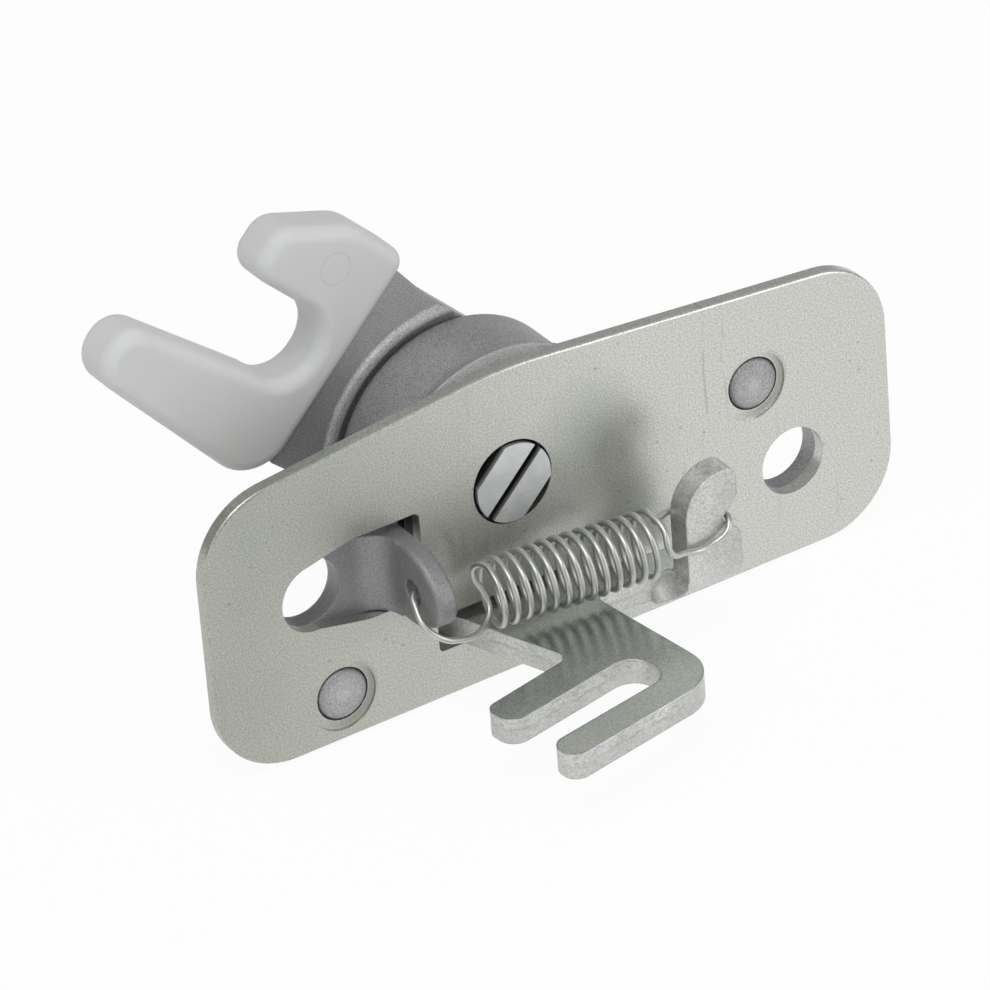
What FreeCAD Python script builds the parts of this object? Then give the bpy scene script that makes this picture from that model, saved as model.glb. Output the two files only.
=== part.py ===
import FreeCAD, Part
import math
import os

# Van door lock. The origin is the middle of the pivot hole on the plate's front face.
# X runs along the plate's bottom edge, Y points backwards through the plate, Z is up.
# All sizes are in millimetres and all angles in degrees.

Vec = FreeCAD.Vector

# Base plate
PLATE_THICKNESS = 2.0
PLATE_LEFT = -50.2
PLATE_RIGHT = 63.9
PLATE_BOTTOM = -30.3
PLATE_PEAK = 18.5
PLATE_SLOPE_LEFT = 0.107
PLATE_SLOPE_RIGHT = 0.093
PLATE_CORNER = 12.0
PLATE_PEAK_ROUNDING = 60.0
PLATE_EDGE_ROUNDING = 0.5
PIVOT_HOLE_DIAMETER = 13.0
MOUNT_HOLE_DIAMETER = 10.5
RIGHT_MOUNT = (46.67, -14.97)
LEFT_MOUNT = (-33.1, -5.8)
LEFT_RIVET = (-30.05, -22.98)
RIGHT_RIVET = (40.8, 0.04)
RIVET_HOLE_DIAMETER = 8.3
RECESS_DIAMETER = 10.6
RECESS_DEPTH = 0.25
RECESS_DROP = 0.4
WINDOW_RIGHT = -15.45
WINDOW_TOP = 1.1
WINDOW_BOTTOM = -12.7
WINDOW_STRAIGHT_LEFT = -26.7
WINDOW_CORNER = 1.0

# Release lever, one stamping
LEVER_THICKNESS = 4.0
LEVER_TOP = -18.1
SLOT_SIDE_CLEARANCE = 3.4
SLOT_RIGHT_CLEARANCE = 1.8
SLOT_TOP_CLEARANCE = 1.1
SLOT_BOTTOM_CLEARANCE = 0.6
LEVER_PIVOT_X = 2.0
LEVER_PIVOT_Y = 8.5
LEVER_EYE_RADIUS = 6.2
LEVER_RELEASE_ANGLE = 8.0
NECK_LEFT = -10.6
NECK_RIGHT = 6.2
STEM_LEFT_SLOPE = -0.356
STEM_FRONT_LEFT = (-4.17, -18.46)
FORK_SLOPE = 0.185
REAR_PRONG_TIP = -20.4
FRONT_PRONG_TIP = -18.2
FORK_SLOT_MIDDLE = -27.8
FORK_SLOT_WIDTH = 7.7
FORK_SLOT_END = 3.7
PRONG_WIDTH_REAR = 5.8
PRONG_WIDTH_FRONT = 5.2
FORK_RIGHT = 10.3
FORK_CORNER = 7.0
NOSE_LEFT = -15.5
NOSE_WIDTH = 6.0
NOSE_GAP = 0.7
NOSE_SIDE_CLEARANCE = 0.6

# Arm and upright tab of the lever
ARM_FRONT = -8.0
ARM_REAR = -1.6
ARM_REAR_TIP = -4.6
TAB_LEFT = 19.5
TAB_RIGHT = 28.5
TAB_FRONT = -13.5
TAB_TOP = -2.0
TAB_BEND_INNER = 1.0
TAB_CORNER = 3.5
TAB_HEAD_RADIUS = 6.6
NOTCH_X = 25.3
NOTCH_Z = -9.9
NOTCH_TOP = -6.8
NOTCH_BOTTOM = -12.8

# Housing casting
FLANGE_THICKNESS = 3.1
DRUM_RADIUS = 18.9
DRUM_REAR = 15.1
DRUM_INNER_RADIUS = 15.9
DRUM_FLARE = 1.4
HUB_RADIUS = 7.8
MOUNT_EYE_RADIUS = 9.3
RIVET_EYE_RADIUS = 6.3
BOSS_CLEARANCE = 0.05
BOSS_END_DIAMETER = 7.7
BOSS_END_PROUD = 0.15
BOSS_END_CHAMFER = 0.35
BOSS_GROOVE_DEPTH = 1.0
EAR_LEFT = -21.0
EAR_THICKNESS = 3.2
EAR_FRONT = -12.9
EAR_TOP = -0.35
EAR_WINDOW_GAP = 0.2
EAR_FILLET = 4.5
EAR_EDGE_ROUNDING = 0.8
EAR_POCKET_DEPTH = 7.0
EAR_POCKET_HEIGHT = 9.0
EAR_HOLE = (-6.1, -6.8)
EAR_HOLE_DIAMETER = 3.8
SHELF_THICKNESS = 4.6
FLANGE_FOOT_GAP = 1.2
STRAP_EDGE = [(-10, -2.8), (-10, -17.5), (-21, -13.4), (-25.5, -11.2)]
LEVER_FLOAT = 0.3

# Pivot of the claw
PIN_END_DIAMETER = 12.16
PIN_PROUD = 0.5
PIN_FLAT_DISTANCE = 5.0
PIN_END_LENGTH = 5.2
PIN_SHANK_DIAMETER = 9.0
PIN_TAIL_DIAMETER = 8.0
PIN_TAIL_FLAT = 3.0
PIN_RUNNING_GAP = 0.05
PIN_SLOT_WIDTH = 1.35
PIN_SLOT_DEPTH = 2.4
PIN_HEAD_GAP = 0.3
WASHER_THICKNESS = 1.0
WASHER_RADIUS = 7.5
RIVET_END_RADIUS = 5.6
RIVET_END_HEIGHT = 2.2

# Claw and carrier
CLAW_DIRECTION = 135.0
CLOSING_ANGLE = 45.0
CARRIER_DRUM_GAP = 0.9
CARRIER_AXIAL_GAP = 0.3
CARRIER_THICKNESS = 5.0
ARM_HALF_WIDTH = 15.3
ARM_END_TOP = 16.2
ARM_END_BOTTOM = 15.7
ARM_WIDENING = 18.0
SHOULDER_CLEARANCE = 0.6
SHOULDER_WIDTH = 1.9
SHOULDER_HEIGHT = 0.8
SHOULDER_ROUNDING = 0.5
LOBE_RADIUS = 24.8
LOBE_START = 222.0
LOBE_END = 303.0
LOBE_CORNER = 8.0
NOTCH_SIDE_GAP = 0.5
LATCH_DEPTH = 2.0
CLAW_FRONT = 14.5
CLAW_THICKNESS = 8.0
CLAW_EDGE_ROUNDING = 2.0
CLAW_REAR = 25.3
CLAW_TOP = 18.7
CLAW_BOTTOM = -19.9
CLAW_BOTTOM_SLOPE = 0.0725
CLAW_TOP_STRAIGHT_END = 36.5
CLAW_TOP_CORNER = 2.5
CLAW_BOTTOM_CORNER = 7.0
MOUTH_BOTTOM = 30.2
MOUTH_HALF_WIDTH = 5.7
MOUTH_MIDDLE = -0.2
LOWER_PRONG_TIP = 61.4
LOWER_PRONG_SLOPE = -0.106
LOWER_PRONG_STRAIGHT = 37.0
UPPER_PRONG_TIP = 47.6
UPPER_PRONG_SHOULDER = 13.0
TONGUE_LENGTH = 3.0
TONGUE_HALF_WIDTH = 13.5

# Springs
CLAW_SPRING_WIRE = 1.8
CLAW_SPRING_RADIUS = 10.3
CLAW_SPRING_TURNS = 3.5
CLAW_SPRING_LEG = 2.0
CLAW_SPRING_PITCH = 2.0
SPRING_FIXED_ANGLE = 60.0
SPRING_MOVING_ANGLE = SPRING_FIXED_ANGLE - 360 * CLAW_SPRING_TURNS
SPRING_WIRE = 0.96
SPRING_COIL_RADIUS = 4.7
SPRING_TURNS = 13.0
COIL_START = (-10.35, -8.0, -10.5)
COIL_END = (15.2, -11.0, -10.9)
EAR_HOOK = [(-10.9, -6.2, -6.6), (-10.7, -5.6, -8.9), (-9.9, -6.6, -11.3), (-10.3, -8.2, -13.4),
            (-13.1, -10.0, -14.5), (-17.2, -11.4, -13.5), (-20.3, -11.6, -11.9), (-22.0, -10.3, -10.0),
            (-21.9, -8.0, -8.0), (-21.2, -6.5, -7.0), (-19.2, -6.1, -6.8), (-16.8, -6.2, -7.0)]
TAB_HOOK = [(15.45, -14.15, -7.5), (15.15, -15.4, -9.6), (15.9, -15.45, -11.0), (18.0, -14.7, -11.9),
            (20.9, -14.3, -12.8), (23.7, -14.35, -12.5), (25.5, -14.5, -11.5), (26.6, -13.5, -10.3),
            (26.7, -11.5, -9.9), (26.2, -9.4, -9.6), (24.4, -8.5, -9.2), (21.9, -8.5, -8.8),
            (19.2, -8.8, -8.6), (16.8, -9.3, -8.9)]

# Lever pin
LEVER_PIN_DIAMETER = 5.0
LEVER_PIN_HEAD_DIAMETER = 8.0
LEVER_PIN_HEAD_HEIGHT = 1.6
LEVER_PIN_SEAT = 3.6
LEVER_PIN_WALL = 2.2

# Places that follow from the sizes above
PLATE_BACK = PLATE_THICKNESS
FLANGE_BACK = PLATE_BACK + FLANGE_THICKNESS
LEVER_BOTTOM = LEVER_TOP - LEVER_THICKNESS
CARRIER_FRONT = DRUM_REAR + CARRIER_DRUM_GAP
CARRIER_BACK = CARRIER_FRONT + CARRIER_THICKNESS
HUB_REAR = CARRIER_FRONT - CARRIER_AXIAL_GAP
SHOULDER_RADIUS = DRUM_RADIUS + SHOULDER_CLEARANCE
BEND_OUTER = TAB_BEND_INNER + LEVER_THICKNESS
BEND_LINE = TAB_FRONT + BEND_OUTER
SLOT_LEFT = NECK_LEFT - SLOT_SIDE_CLEARANCE
SLOT_RIGHT = NECK_RIGHT + SLOT_RIGHT_CLEARANCE
SLOT_TOP = LEVER_TOP + SLOT_TOP_CLEARANCE
SLOT_BOTTOM = LEVER_BOTTOM - SLOT_BOTTOM_CLEARANCE
DRUM_FLAT = LEVER_TOP + LEVER_FLOAT
SHELF_TOP = LEVER_BOTTOM - LEVER_FLOAT
NOSE_END = CARRIER_FRONT - NOSE_GAP
EAR_BOTTOM = WINDOW_BOTTOM + EAR_WINDOW_GAP


def save(name, shape):
    """Write one piece to its own file, after a check that it is sound."""
    solid = shape.removeSplitter()
    if len(solid.Solids) == 1:
        solid = solid.Solids[0]
    print(name, len(solid.Solids), "solid,", round(solid.Volume, 1), "mm3, valid", solid.isValid())
    solid.exportStep("parts/" + name + ".step")
    return solid


def in_xz(y):
    return lambda a, b: Vec(a, y, b)


def in_xy(z):
    return lambda a, b: Vec(a, b, z)


def in_yz(x):
    return lambda a, b: Vec(x, a, b)


def rounded_wire(corners, place):
    """Closed outline through (a, b, radius) corners, each one rounded by a tangent arc."""
    count = len(corners)
    starts = []
    ends = []
    middles = []
    for index in range(count):
        a, b, radius = corners[index]
        corner = Vec(a, b, 0)
        before = Vec(*corners[index - 1][:2], 0) - corner
        after = Vec(*corners[(index + 1) % count][:2], 0) - corner
        before.normalize()
        after.normalize()
        half = before.getAngle(after) / 2
        reach = radius / math.tan(half)
        starts.append(corner + before * reach)
        ends.append(corner + after * reach)
        inward = before + after
        if radius > 0:
            inward.normalize()
            middles.append(corner + inward * (radius / math.sin(half) - radius))
        else:
            middles.append(corner)
    edges = []
    for index in range(count):
        if corners[index][2] > 0:
            arc = Part.Arc(place(starts[index].x, starts[index].y),
                           place(middles[index].x, middles[index].y),
                           place(ends[index].x, ends[index].y))
            edges.append(arc.toShape())
        following = starts[(index + 1) % count]
        if (following - ends[index]).Length > 1e-4:
            edges.append(Part.makeLine(place(ends[index].x, ends[index].y),
                                       place(following.x, following.y)))
    return Part.Wire(edges)


def prism(corners, place, along):
    return Part.Face(rounded_wire(corners, place)).extrude(along)


def plate_prism(corners, front, back):
    """Prism from an outline in X and Z, between two places along Y."""
    return prism(corners, in_xz(front), Vec(0, back - front, 0))


def rod_y(x, z, radius, front, back):
    return Part.makeCylinder(radius, back - front, Vec(x, front, z), Vec(0, 1, 0))


def rod_z(x, y, radius, low, high):
    return Part.makeCylinder(radius, high - low, Vec(x, y, low), Vec(0, 0, 1))


def block(low, high):
    return Part.makeBox(high[0] - low[0], high[1] - low[1], high[2] - low[2], Vec(*low))


def turned(profile):
    """Solid of revolution about Y from (radius, y) points."""
    points = [Vec(radius, y, 0) for radius, y in profile]
    points.append(points[0])
    return Part.Face(Part.makePolygon(points)).revolve(Vec(0, 0, 0), Vec(0, 1, 0), 360)


def turn_about_pivot(shape, angle):
    """Turn about the claw's axis, clockwise seen from the front."""
    shape.rotate(Vec(0, 0, 0), Vec(0, 1, 0), angle)
    return shape


def along_claw(u, v):
    """X and Z of a point given along and across the open claw's direction."""
    angle = math.radians(CLAW_DIRECTION)
    return (u * math.cos(angle) + v * math.sin(angle), u * math.sin(angle) - v * math.cos(angle))


def claw_corners(corners):
    return [along_claw(u, v) + (radius,) for u, v, radius in corners]


def edges_on_plane(shape, y):
    return [edge for edge in shape.Edges if all(abs(v.Y - y) < 1e-4 for v in edge.Vertexes)
            and abs(edge.CenterOfMass.y - y) < 1e-4]


def make_base_plate():
    corners = [(PLATE_LEFT, PLATE_BOTTOM, PLATE_CORNER),
               (PLATE_RIGHT, PLATE_BOTTOM, PLATE_CORNER),
               (PLATE_RIGHT, PLATE_PEAK - PLATE_SLOPE_RIGHT * PLATE_RIGHT, PLATE_CORNER),
               (0, PLATE_PEAK, PLATE_PEAK_ROUNDING),
               (PLATE_LEFT, PLATE_PEAK + PLATE_SLOPE_LEFT * PLATE_LEFT, PLATE_CORNER)]
    plate = plate_prism(corners, 0, PLATE_BACK)
    plate = plate.makeFillet(PLATE_EDGE_ROUNDING, edges_on_plane(plate, 0))

    through = PLATE_THICKNESS + 2
    hole = MOUNT_HOLE_DIAMETER / 2
    cuts = [rod_y(0, 0, PIVOT_HOLE_DIAMETER / 2, -1, through),
            rod_y(*RIGHT_MOUNT, hole, -1, through),
            rod_y(*LEFT_MOUNT, hole, -1, through)]
    for x, z in (LEFT_RIVET, RIGHT_RIVET):
        cuts.append(rod_y(x, z, RIVET_HOLE_DIAMETER / 2, -1, through))
        cuts.append(rod_y(x, z - RECESS_DROP, RECESS_DIAMETER / 2, -1, RECESS_DEPTH))

    # The window runs into the left mounting hole, above and below its middle.
    upper = math.radians(111)
    lower = math.radians(243)
    window = [(LEFT_MOUNT[0] + hole * math.cos(upper), LEFT_MOUNT[1] + hole * math.sin(upper), 0),
              (WINDOW_STRAIGHT_LEFT, WINDOW_TOP, 4),
              (WINDOW_RIGHT, WINDOW_TOP, WINDOW_CORNER),
              (WINDOW_RIGHT, WINDOW_BOTTOM, WINDOW_CORNER),
              (WINDOW_STRAIGHT_LEFT + 2, WINDOW_BOTTOM, 8),
              (LEFT_MOUNT[0] + hole * math.cos(lower), LEFT_MOUNT[1] + hole * math.sin(lower), 0)]
    cuts.append(plate_prism(window, -1, through))

    slot = [(SLOT_LEFT, SLOT_BOTTOM, 0.8), (SLOT_RIGHT, SLOT_BOTTOM, 0.8),
            (SLOT_RIGHT, SLOT_TOP, 0.8), (SLOT_LEFT, SLOT_TOP, 0.8)]
    cuts.append(plate_prism(slot, -1, through))
    return plate.cut(cuts)


def make_flange():
    """Flat back plate of the casting, with an eye round each hole and an open left web."""
    depth = (PLATE_BACK, FLANGE_BACK)
    foot = PLATE_BOTTOM + FLANGE_FOOT_GAP
    flared = DRUM_RADIUS + DRUM_FLARE
    hollow = Part.Arc(Vec(flared, PLATE_BACK, 0),
                      Vec(DRUM_RADIUS + DRUM_FLARE * 0.22, PLATE_BACK + FLANGE_THICKNESS / 2, 0),
                      Vec(DRUM_RADIUS, FLANGE_BACK, 0))
    root = [Vec(DRUM_RADIUS, FLANGE_BACK, 0), Vec(HUB_RADIUS, FLANGE_BACK, 0),
            Vec(HUB_RADIUS, PLATE_BACK, 0), Vec(flared, PLATE_BACK, 0)]
    ring = Part.Face(Part.Wire([hollow.toShape()] + Part.makePolygon(root).Edges))
    flange = ring.revolve(Vec(0, 0, 0), Vec(0, 1, 0), 360)
    parts = [rod_y(*LEFT_MOUNT, MOUNT_EYE_RADIUS, *depth),
             rod_y(*RIGHT_MOUNT, MOUNT_EYE_RADIUS, *depth),
             rod_y(*LEFT_RIVET, RIVET_EYE_RADIUS, *depth),
             rod_y(*RIGHT_RIVET, RIVET_EYE_RADIUS, *depth)]
    strap = [(LEFT_MOUNT[0], LEFT_MOUNT[1] + 7.1, 0), (LEFT_MOUNT[0], LEFT_MOUNT[1] - 4, 0)]
    strap[1:1] = [point + (0,) for point in STRAP_EDGE]
    left_web = [(LEFT_MOUNT[0] - 7.5, LEFT_MOUNT[1], 0), (LEFT_MOUNT[0] + 10.5, LEFT_MOUNT[1] - 5, 0),
                (LEFT_RIVET[0] + RIVET_EYE_RADIUS + 2, LEFT_RIVET[1], 0),
                (LEFT_RIVET[0] - RIVET_EYE_RADIUS, LEFT_RIVET[1], 0)]
    lower_bar = [(LEFT_RIVET[0], foot, 0), (SLOT_RIGHT + 8, foot, 0),
                 (SLOT_RIGHT + 8, SLOT_BOTTOM, 0), (LEFT_RIVET[0], SLOT_BOTTOM, 0)]
    right_web = [(5, DRUM_RADIUS - 3, 0), (RIGHT_RIVET[0] + 1, RIGHT_RIVET[1] + RIVET_EYE_RADIUS, 0),
                 (RIGHT_MOUNT[0] + MOUNT_EYE_RADIUS, RIGHT_MOUNT[1], 0),
                 (RIGHT_MOUNT[0], RIGHT_MOUNT[1] - MOUNT_EYE_RADIUS, 0),
                 (SLOT_RIGHT + 4, foot, 0), (SLOT_RIGHT + 0.6, SLOT_BOTTOM, 0), (0, 0, 0)]
    for outline in (strap, left_web, lower_bar, right_web):
        parts.append(plate_prism(outline, *depth))
    return flange.fuse(parts)


def make_ear():
    """Lug for the spring, with a wide fillet where its left side meets the flange."""
    root = PLATE_BACK + FLANGE_THICKNESS / 2
    outline = [(root, EAR_TOP, 0), (EAR_FRONT + 5.3, EAR_TOP, 9), (EAR_FRONT, EAR_TOP - 4.5, 4.6),
               (EAR_FRONT, EAR_BOTTOM + 3.3, 3.8), (EAR_FRONT + 5.3, EAR_BOTTOM, 10),
               (root, EAR_BOTTOM, 0)]
    ear = prism(outline, in_yz(EAR_LEFT), Vec(EAR_THICKNESS, 0, 0))
    rim = [edge for edge in ear.Edges if edge.CenterOfMass.y < root - 0.01
           and edge.CenterOfMass.x > EAR_LEFT + EAR_THICKNESS - 0.01
           or edge.CenterOfMass.y < PLATE_BACK - EAR_FILLET - 1 and edge.CenterOfMass.x < EAR_LEFT + 0.01]
    ear = ear.makeFillet(EAR_EDGE_ROUNDING, rim)
    start = Vec(EAR_LEFT - EAR_FILLET, PLATE_BACK, EAR_BOTTOM)
    end = Vec(EAR_LEFT, PLATE_BACK - EAR_FILLET, EAR_BOTTOM)
    bow = EAR_FILLET * (1 - math.sqrt(0.5))
    middle = Vec(EAR_LEFT - bow, PLATE_BACK - bow, EAR_BOTTOM)
    inner = Vec(EAR_LEFT + 1, PLATE_BACK - EAR_FILLET, EAR_BOTTOM)
    back = Vec(EAR_LEFT + 1, root, EAR_BOTTOM)
    side = Vec(EAR_LEFT - EAR_FILLET, root, EAR_BOTTOM)
    web = Part.Wire([Part.Arc(start, middle, end).toShape(), Part.makeLine(end, inner),
                     Part.makeLine(inner, back), Part.makeLine(back, side), Part.makeLine(side, start)])
    fillet = Part.Face(web).extrude(Vec(0, 0, EAR_TOP - EAR_BOTTOM))
    hole = Part.makeCylinder(EAR_HOLE_DIAMETER / 2, EAR_THICKNESS + 12,
                             Vec(EAR_LEFT - 6, *EAR_HOLE), Vec(1, 0, 0))
    return ear.fuse(fillet).cut(hole)


def make_boss(x, z):
    """Boss that fills a hole of the plate, with a flat end and an open groove round it."""
    radius = RIVET_HOLE_DIAMETER / 2 - BOSS_CLEARANCE
    end_radius = BOSS_END_DIAMETER / 2
    chamfer = BOSS_END_CHAMFER
    front = -BOSS_END_PROUD
    boss = turned([(0, front), (end_radius - chamfer, front), (end_radius, front + chamfer),
                   (end_radius, BOSS_GROOVE_DEPTH), (radius, BOSS_GROOVE_DEPTH),
                   (radius, FLANGE_BACK), (0, FLANGE_BACK)])
    boss.translate(Vec(x, 0, z))
    return boss


def make_housing():
    pin_shank = PIN_SHANK_DIAMETER / 2 + PIN_RUNNING_GAP
    pin_seat = PIN_END_DIAMETER / 2 + PIN_HEAD_GAP
    seat_back = PIN_END_LENGTH - PIN_PROUD + PIN_RUNNING_GAP
    drum = turned([(HUB_RADIUS - 1, PLATE_BACK), (DRUM_RADIUS, FLANGE_BACK - 0.1), (DRUM_RADIUS, DRUM_REAR),
                   (DRUM_INNER_RADIUS, DRUM_REAR), (DRUM_INNER_RADIUS, FLANGE_BACK),
                   (HUB_RADIUS, FLANGE_BACK), (HUB_RADIUS, HUB_REAR), (HUB_RADIUS - 1, HUB_REAR)])
    hub = rod_y(0, 0, HUB_RADIUS, PLATE_BACK, HUB_REAR)
    housing = make_flange().fuse([drum, hub])

    # The underside of the drum is cut flat over the lever, with a thick seat for the lever's pin.
    reach = DRUM_RADIUS + 6
    seat_half = LEVER_PIN_DIAMETER / 2 + LEVER_PIN_WALL
    below = block((-reach, FLANGE_BACK, PLATE_BOTTOM), (reach, DRUM_REAR + 1, DRUM_FLAT))
    slot = block((NOSE_LEFT - NOSE_SIDE_CLEARANCE, PLATE_BACK - 1, SLOT_BOTTOM),
                 (SLOT_RIGHT + 0.6, FLANGE_BACK + 1, DRUM_FLAT))
    housing = housing.cut([below, slot])
    pin_seat_block = block((LEVER_PIVOT_X - seat_half, FLANGE_BACK - 1, DRUM_FLAT),
                           (LEVER_PIVOT_X + seat_half, LEVER_PIVOT_Y + seat_half,
                            DRUM_FLAT + LEVER_PIN_SEAT + 1))
    shelf = block((LEVER_PIVOT_X - LEVER_EYE_RADIUS, PLATE_BACK + 0.5, SHELF_TOP - SHELF_THICKNESS),
                  (LEVER_PIVOT_X + LEVER_EYE_RADIUS, LEVER_PIVOT_Y + LEVER_EYE_RADIUS, SHELF_TOP))
    housing = housing.fuse([pin_seat_block, shelf, make_ear(), make_boss(*LEFT_RIVET),
                            make_boss(*RIGHT_RIVET)])

    head_room = LEVER_PIN_HEAD_DIAMETER / 2 + LEVER_FLOAT
    cuts = [rod_y(0, 0, pin_shank, PLATE_BACK - 1, HUB_REAR + 1),
            rod_y(0, 0, pin_seat, PLATE_BACK - 1, seat_back),
            block((EAR_LEFT + EAR_THICKNESS, PLATE_BACK - 1, WINDOW_TOP - EAR_POCKET_HEIGHT),
                  (WINDOW_RIGHT + 0.4, PLATE_BACK + EAR_POCKET_DEPTH, WINDOW_TOP + 0.4)),
            rod_y(*RIGHT_MOUNT, MOUNT_HOLE_DIAMETER / 2, PLATE_BACK - 1, FLANGE_BACK + 1),
            rod_y(*LEFT_MOUNT, MOUNT_HOLE_DIAMETER / 2, PLATE_BACK - 1, FLANGE_BACK + 1),
            rod_z(LEVER_PIVOT_X, LEVER_PIVOT_Y, LEVER_PIN_DIAMETER / 2,
                  SHELF_TOP - SHELF_THICKNESS - 1, DRUM_FLAT + LEVER_PIN_SEAT),
            block((LEVER_PIVOT_X - head_room, LEVER_PIVOT_Y - head_room, PLATE_BOTTOM - 1),
                  (LEVER_PIVOT_X + head_room, FLANGE_BACK + 1, SHELF_TOP - SHELF_THICKNESS)),
            spring_leg_hole(SPRING_FIXED_ANGLE, FLANGE_BACK - CLAW_SPRING_LEG, FLANGE_BACK + 1)]
    return housing.cut(cuts)


def make_lever():
    """Fork, arm, tab and nose: one flat blank with one upward bend."""
    stem_x, stem_y = STEM_FRONT_LEFT
    slope = FORK_SLOPE
    half = FORK_SLOT_WIDTH / 2

    def fork_line(x, offset):
        return FORK_SLOT_MIDDLE + slope * x + offset

    flange_inside = FLANGE_BACK - 1
    neck_back_left = stem_x + (flange_inside - stem_y) * STEM_LEFT_SLOPE
    nose_right = NOSE_LEFT + NOSE_WIDTH
    end_lean = slope * half
    outline = [
        (neck_back_left, flange_inside, 2),
        (stem_x, stem_y, 1.6),
        (REAR_PRONG_TIP, fork_line(REAR_PRONG_TIP, half + PRONG_WIDTH_REAR), 1.9),
        (REAR_PRONG_TIP + 0.6, fork_line(REAR_PRONG_TIP, half), 2.6),
        (FORK_SLOT_END - end_lean, fork_line(FORK_SLOT_END, half), half * 0.88),
        (FORK_SLOT_END + end_lean, fork_line(FORK_SLOT_END, -half), half * 0.88),
        (FRONT_PRONG_TIP, fork_line(FRONT_PRONG_TIP, -half), 2.3),
        (FRONT_PRONG_TIP + 0.3, fork_line(FRONT_PRONG_TIP, -half - PRONG_WIDTH_FRONT), 2.2),
        (FORK_RIGHT, fork_line(FORK_RIGHT, -half - PRONG_WIDTH_FRONT), FORK_CORNER),
        (NECK_RIGHT + 1.0, ARM_FRONT, 1.2),
        (TAB_LEFT - TAB_CORNER - 2.5, ARM_FRONT, 3),
        (TAB_LEFT - TAB_CORNER, BEND_LINE, 0),
        (TAB_RIGHT, BEND_LINE, 0),
        (TAB_RIGHT, ARM_REAR_TIP, 2.5),
        (NECK_RIGHT + 2.5, ARM_REAR, 4),
        (NECK_RIGHT, ARM_REAR + 0.8, 0.6),
        (LEVER_PIVOT_X + LEVER_EYE_RADIUS, LEVER_PIVOT_Y, 0),
        (LEVER_PIVOT_X, LEVER_PIVOT_Y + LEVER_EYE_RADIUS, 0),
        (nose_right + 0.6, NOSE_END - 3.0, 1.5),
        (nose_right, NOSE_END, 0.8),
        (NOSE_LEFT, NOSE_END, 1.2),
        (NOSE_LEFT, NOSE_END - 6.0, 2)]
    flat = prism(outline, in_xy(LEVER_BOTTOM), Vec(0, 0, LEVER_THICKNESS))
    eye = rod_z(LEVER_PIVOT_X, LEVER_PIVOT_Y, LEVER_EYE_RADIUS, LEVER_BOTTOM, LEVER_TOP)

    # The bend widens to the left in a hollow corner, where the tab grows out of the arm.
    bend_middle_z = LEVER_TOP + TAB_BEND_INNER
    bend_left = TAB_LEFT - TAB_CORNER
    bend_start = Vec(bend_left, BEND_LINE, bend_middle_z)
    bend_width = TAB_RIGHT - bend_left
    outer = Part.makeCylinder(BEND_OUTER, bend_width, bend_start, Vec(1, 0, 0))
    inner = Part.makeCylinder(TAB_BEND_INNER, bend_width, bend_start, Vec(1, 0, 0))
    quarter = block((bend_left, TAB_FRONT, LEVER_BOTTOM), (TAB_RIGHT, BEND_LINE, bend_middle_z))
    outwards = Vec(0, -1, -1).normalize()
    towards_tab = Vec(0, -1, 1).normalize()
    bend_radius = (TAB_BEND_INNER + BEND_OUTER) / 2
    half_chord = bend_radius * math.sin(math.radians(45))
    corner_middle = bend_start + towards_tab * (TAB_CORNER - half_chord)
    hollow = Part.makeCylinder(TAB_CORNER, 2 * BEND_OUTER, corner_middle, outwards)
    above = block((bend_left - 1, TAB_FRONT - 1, bend_middle_z - half_chord / 2),
                  (TAB_LEFT, BEND_LINE + 1, bend_middle_z + 1))
    bend = outer.cut(inner).common(quarter).cut([hollow, above])

    head = [(TAB_LEFT, bend_middle_z, 0), (TAB_LEFT, TAB_TOP, TAB_HEAD_RADIUS),
            (TAB_RIGHT - 0.3, TAB_TOP, 1.7), (TAB_RIGHT - 0.3, NOTCH_TOP, 0.8),
            (NOTCH_X, NOTCH_Z, 0.7), (TAB_RIGHT, NOTCH_BOTTOM, 0.9), (TAB_RIGHT, bend_middle_z, 0)]
    tab = prism(head, in_xz(TAB_FRONT), Vec(0, LEVER_THICKNESS, 0))
    lever = flat.fuse([eye, bend, tab])
    bore = rod_z(LEVER_PIVOT_X, LEVER_PIVOT_Y, LEVER_PIN_DIAMETER / 2 + PIN_RUNNING_GAP,
                 LEVER_BOTTOM - 1, LEVER_TOP + 1)
    return lever.cut(bore)


def make_lever_pin():
    radius = LEVER_PIN_DIAMETER / 2
    low = SHELF_TOP - SHELF_THICKNESS
    top = DRUM_FLAT + LEVER_PIN_SEAT - 0.2
    shank = rod_z(LEVER_PIVOT_X, LEVER_PIVOT_Y, radius, low, top)
    head = rod_z(LEVER_PIVOT_X, LEVER_PIVOT_Y, LEVER_PIN_HEAD_DIAMETER / 2, low - LEVER_PIN_HEAD_HEIGHT, low)
    return shank.fuse(head)


def flatted_rod(radius, flat, front, back):
    """Round rod on the claw's axis with two flats across the claw's direction."""
    corners = claw_corners([(-radius * 2, -flat, 0), (radius * 2, -flat, 0),
                            (radius * 2, flat, 0), (-radius * 2, flat, 0)])
    return rod_y(0, 0, radius, front, back).common(plate_prism(corners, front, back))


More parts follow.
